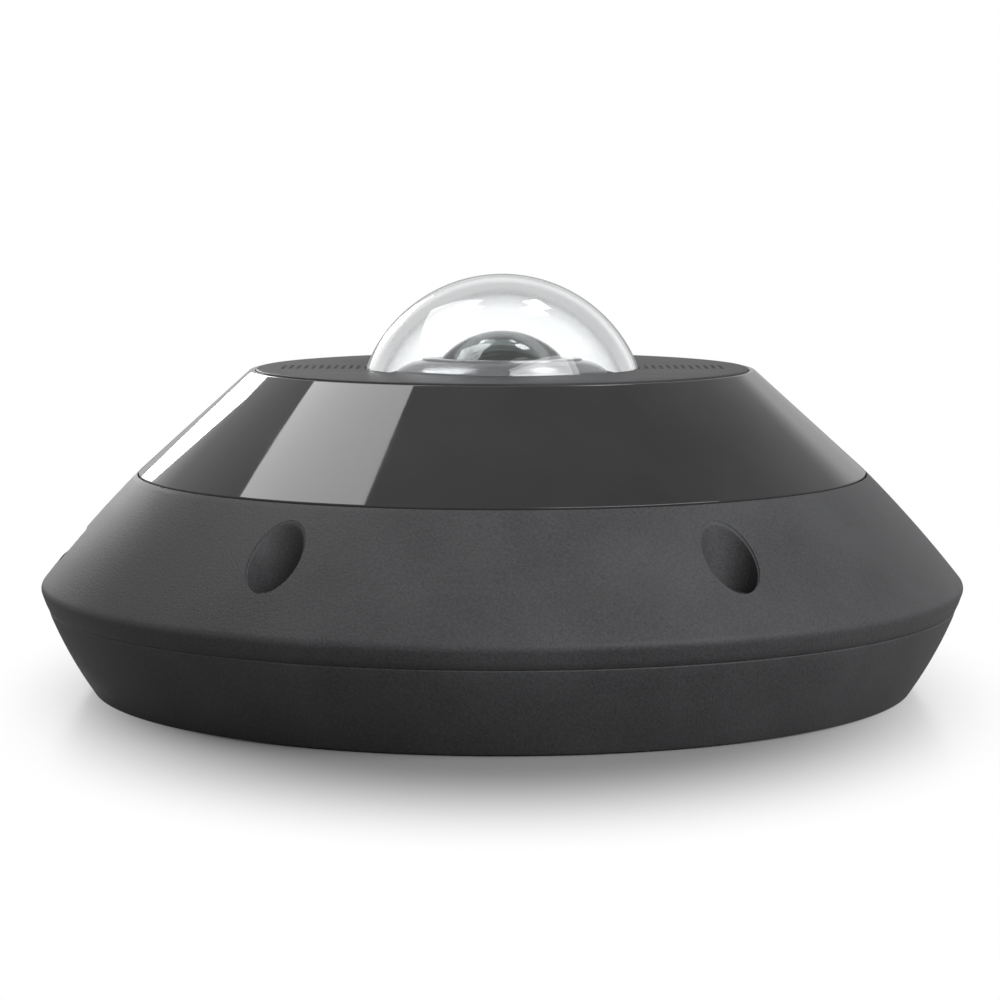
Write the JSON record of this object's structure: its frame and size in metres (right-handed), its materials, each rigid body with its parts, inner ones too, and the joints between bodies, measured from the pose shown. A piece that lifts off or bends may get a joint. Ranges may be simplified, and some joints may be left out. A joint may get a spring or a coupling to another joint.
{
  "type": "fisheye network camera",
  "caption": "Low conical outdoor camera housing with a glossy smoked ring and a clear bubble over a fisheye lens; its cover lifts off the base.",
  "frame": {"origin": "centre of the mounting face, on the housing's axis", "axes": "+Z from the mounting face through the bubble, -Y towards the viewer of the picture, +X to their right"},
  "size_m": [0.164, 0.164, 0.0729],
  "materials": {
    "casting_paint": "matte dark grey powder coat",
    "smoked_window": "gloss smoked, passes infrared light",
    "faceplate_plastic": "fine matte grain",
    "clear_bubble": "clear, polished",
    "clear_guide": "clear moulded",
    "lens_glass": "coated, polished",
    "infrared_glass": "pale blue-green, coated",
    "brushed_cone": "turned and brushed",
    "barrel_metal": "black anodised",
    "black_plastic": "matte",
    "frame_plastic": "moulded, satin",
    "board": "fibreglass under green solder resist",
    "chip_plastic": "moulded epoxy",
    "sensor_face": "coated cover glass on ceramic",
    "white_plastic": "moulded",
    "screw_steel": "stainless",
    "plated_steel": "tin plated",
    "seal_rubber": "moulded silicone",
    "pad_rubber": "soft filled silicone",
    "terminal_plastic": "moulded",
    "capacitor_sleeve": "shrunk sleeve",
    "lamp_resin": "clear resin over a white base",
    "cable_film": "polyester film",
    "mesh_cloth": "woven acoustic mesh",
    "card_plastic": "moulded, bare",
    "button_plastic": "moulded"
  },
  "bodies": {
    "base": {"base_housing": "casting_paint", "base_gasket": "seal_rubber", "cable_grommet": "seal_rubber", "breather_vent": "black_plastic", "main_board": "board", "board_screws": "screw_steel", "processor": "chip_plastic", "thermal_pad": "pad_rubber", "memory_chips": "chip_plastic", "power_transformer": "chip_plastic", "filter_capacitors": "capacitor_sleeve", "network_jack": "plated_steel", "terminal_block": "terminal_plastic", "card_socket": "plated_steel", "reset_switch": "black_plastic", "core_frame": "frame_plastic", "frame_screws": "screw_steel", "sensor_board": "board", "sensor_screws": "screw_steel", "image_sensor": "sensor_face", "cable_sockets": "white_plastic", "flat_cable": "cable_film", "filter_motor": "black_plastic", "lens_mount": "black_plastic", "lens_barrel": "barrel_metal", "lens_lock_ring": "barrel_metal", "rear_lens": "lens_glass", "middle_lens": "lens_glass", "front_lens": "lens_glass", "lens_retainer": "brushed_cone", "lens_shroud": "brushed_cone", "light_baffle": "black_plastic", "led_board": "board", "led_board_screws": "screw_steel", "infrared_leds": "lamp_resin", "light_sensor": "sensor_face", "speaker": "black_plastic", "speaker_seal": "seal_rubber", "microphone": "plated_steel", "microphone_boot": "seal_rubber"},
    "rotor": {"filter_rotor": "white_plastic"},
    "filter": {"filter_frame": "black_plastic", "infrared_filter": "infrared_glass", "clear_filter": "lens_glass"},
    "card": {"memory_card": "card_plastic"},
    "button": {"reset_button": "button_plastic"},
    "cover": {"cover_shell": "casting_paint", "infrared_window": "smoked_window", "window_gasket": "seal_rubber", "window_screws": "screw_steel", "faceplate": "faceplate_plastic", "grille_meshes": "mesh_cloth", "light_guide": "clear_guide", "dome_bubble": "clear_bubble", "dome_gasket": "seal_rubber", "dome_clamp": "black_plastic", "clamp_screws": "screw_steel", "cover_screws": "screw_steel", "screw_seals": "seal_rubber"}
  },
  "joints": [
    {"name": "cover_lift", "type": "slide", "parent": "base", "child": "cover", "axis": [0, 0, 1], "range_m": [0, 0.07]},
    {"name": "rotor_swing", "type": "hinge", "parent": "base", "child": "rotor", "pos_m": [0, 0.018, 0.031], "axis": [0, 0, 1], "range_deg": [-50, 0]},
    {"name": "filter_slide", "type": "slide", "parent": "base", "child": "filter", "axis": [1, 0, 0], "range_m": [-0.0092, 0]},
    {"name": "card_slide", "type": "slide", "parent": "base", "child": "card", "axis": [1, 0, 0], "range_m": [0, 0.013]},
    {"name": "reset_press", "type": "slide", "parent": "base", "child": "button", "axis": [0, 0, -1], "range_m": [0, 0.00025], "stiffness_N_per_m": 6400}
  ],
  "couplings": [
    {"joint": "rotor_swing", "follows": "filter_slide", "rad_per_m": 94.854}
  ]
}
